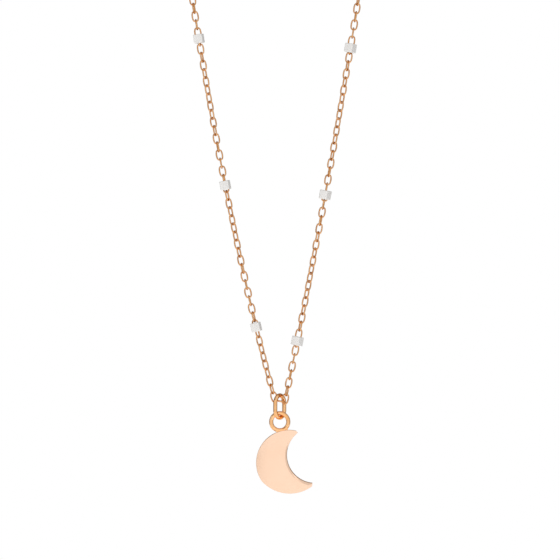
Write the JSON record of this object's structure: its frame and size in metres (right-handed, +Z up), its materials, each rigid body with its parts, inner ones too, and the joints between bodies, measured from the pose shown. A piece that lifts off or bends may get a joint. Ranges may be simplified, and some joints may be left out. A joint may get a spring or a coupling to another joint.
{
  "type": "pendant necklace",
  "caption": "Fine rose-toned cable chain with small square beads, a ring clasp and a crescent pendant on an oval bail.",
  "frame": {"origin": "middle of the closed clasp ring, at the top of the hanging loop", "axes": "+Z up along the hanging necklace, -Y out of the pendant's front, +X to the viewer's right"},
  "size_m": [0.0582, 0.0034, 0.2152],
  "materials": {
    "rose_gold": "polished rose gold",
    "rose_gold_pendant": "polished rose gold, softly domed front",
    "white_metal": "satin white metal",
    "spring_steel": "drawn wire"
  },
  "bodies": {
    "top_arc": {"chain_left_7": "rose_gold", "bead_left_7": "white_metal", "chain_right_7": "rose_gold", "bead_right_7": "white_metal"},
    "level_6": {"chain_left_6": "rose_gold", "bead_left_6": "white_metal", "chain_right_6": "rose_gold", "bead_right_6": "white_metal"},
    "level_5": {"chain_left_5": "rose_gold", "bead_left_5": "white_metal", "chain_right_5": "rose_gold", "bead_right_5": "white_metal"},
    "level_4": {"chain_left_4": "rose_gold", "bead_left_4": "white_metal", "chain_right_4": "rose_gold", "bead_right_4": "white_metal"},
    "level_3": {"chain_left_3": "rose_gold", "bead_left_3": "white_metal", "chain_right_3": "rose_gold", "bead_right_3": "white_metal"},
    "level_2": {"chain_left_2": "rose_gold", "bead_left_2": "white_metal", "chain_right_2": "rose_gold", "bead_right_2": "white_metal"},
    "level_1": {"chain_left_1": "rose_gold", "bead_left_1": "white_metal", "chain_right_1": "rose_gold", "bead_right_1": "white_metal"},
    "middle_link": {"centre_link": "rose_gold"},
    "bail": {"bail_ring": "rose_gold"},
    "pendant": {"pendant_eyelet": "rose_gold", "moon_pendant": "rose_gold_pendant"},
    "clasp": {"clasp_body": "rose_gold", "clasp_spring": "spring_steel"},
    "bolt": {"clasp_bolt": "rose_gold"},
    "jump_ring": {"clasp_jump_ring": "rose_gold"},
    "closing_ring": {"end_ring": "rose_gold"}
  },
  "joints": [
    {"name": "swing_level_6", "type": "hinge", "parent": "top_arc", "child": "level_6", "pos_m": [-0.02814, 0, -0.01778], "axis": [1, 0, -0.0031], "range_deg": [-20, 20]},
    {"name": "swing_level_5", "type": "hinge", "parent": "level_6", "child": "level_5", "pos_m": [-0.02648, 0, -0.04734], "axis": [1, 0, -0.0022], "range_deg": [-20, 20]},
    {"name": "swing_level_4", "type": "hinge", "parent": "level_5", "child": "level_4", "pos_m": [-0.02277, 0, -0.07688], "axis": [1, 0, -0.0016], "range_deg": [-20, 20]},
    {"name": "swing_level_3", "type": "hinge", "parent": "level_4", "child": "level_3", "pos_m": [-0.01857, 0, -0.10635], "axis": [1, 0, -0.0013], "range_deg": [-20, 20]},
    {"name": "swing_level_2", "type": "hinge", "parent": "level_3", "child": "level_2", "pos_m": [-0.01371, 0, -0.13572], "axis": [1, 0, -0.0023], "range_deg": [-20, 20]},
    {"name": "swing_level_1", "type": "hinge", "parent": "level_2", "child": "level_1", "pos_m": [-0.00796, 0, -0.16493], "axis": [0.9999, 0, -0.0104], "range_deg": [-20, 20]},
    {"name": "middle_link_rock", "type": "hinge", "parent": "level_1", "child": "middle_link", "pos_m": [-0.00093, 0, -0.19386], "axis": [0.976, 0, -0.2177], "range_deg": [-4, 4]},
    {"name": "bail_side_swing", "type": "hinge", "parent": "middle_link", "child": "bail", "pos_m": [-0.00012, 0, -0.1929], "axis": [0, 1, 0], "range_deg": [-10, 5]},
    {"name": "pendant_swing", "type": "hinge", "parent": "bail", "child": "pendant", "pos_m": [0, 0, -0.19632], "axis": [1, 0, 0], "range_deg": [-30, 30]},
    {"name": "clasp_swivel", "type": "hinge", "parent": "top_arc", "child": "clasp", "pos_m": [0, 0, 0], "axis": [1, 0, 0], "range_deg": [-20, 20]},
    {"name": "bolt_slide", "type": "hinge", "parent": "clasp", "child": "bolt", "pos_m": [0, 0, 0], "axis": [0, 1, 0], "range_deg": [0, 55], "stiffness_Nm_per_rad": 0.0004, "springref_deg": -28.65, "deforming": ["clasp_spring"]},
    {"name": "jump_ring_turn", "type": "hinge", "parent": "top_arc", "child": "jump_ring", "pos_m": [-0.00435, 0, 0], "axis": [1, 0, 0], "range_deg": [-20, 20]},
    {"name": "end_ring_turn", "type": "hinge", "parent": "top_arc", "child": "closing_ring", "pos_m": [0.00252, 0, 0], "axis": [1, 0, 0], "range_deg": [-20, 20]}
  ]
}
